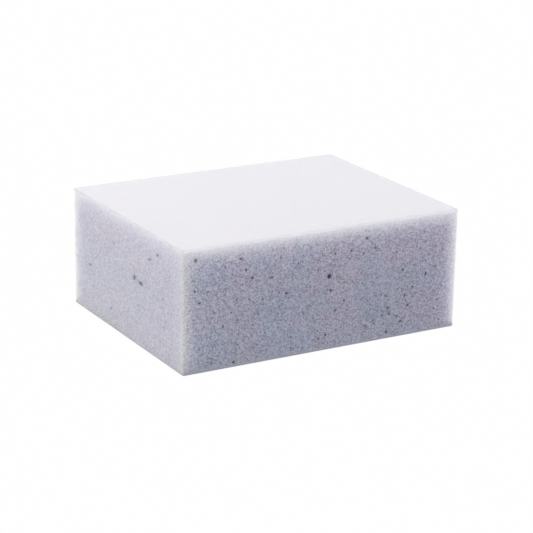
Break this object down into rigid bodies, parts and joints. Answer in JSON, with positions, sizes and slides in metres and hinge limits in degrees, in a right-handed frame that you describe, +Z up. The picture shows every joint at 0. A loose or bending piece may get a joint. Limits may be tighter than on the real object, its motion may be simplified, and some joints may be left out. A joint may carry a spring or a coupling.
{
  "type": "nail buffer block",
  "caption": "Small rectangular buffer block for smoothing nails: a soft fine-celled foam core with a thin white abrasive facing bonded above and below.",
  "frame": {"origin": "centre of the bottom face, where the block rests", "axes": "+X along the length, +Y along the depth, +Z up through the layers, at right angles to the two abrasive faces"},
  "size_m": [0.0318, 0.025, 0.0127],
  "materials": {
    "foam": "matte",
    "adhesive": "satin",
    "backing_paper": "matte",
    "grit": "matte"
  },
  "bodies": {
    "root": {"foam_core": "foam", "top_adhesive_film": "adhesive", "top_backing_sheet": "backing_paper", "top_grit_coat": "grit", "bottom_adhesive_film": "adhesive", "bottom_backing_sheet": "backing_paper", "bottom_grit_coat": "grit"}
  },
  "joints": []
}
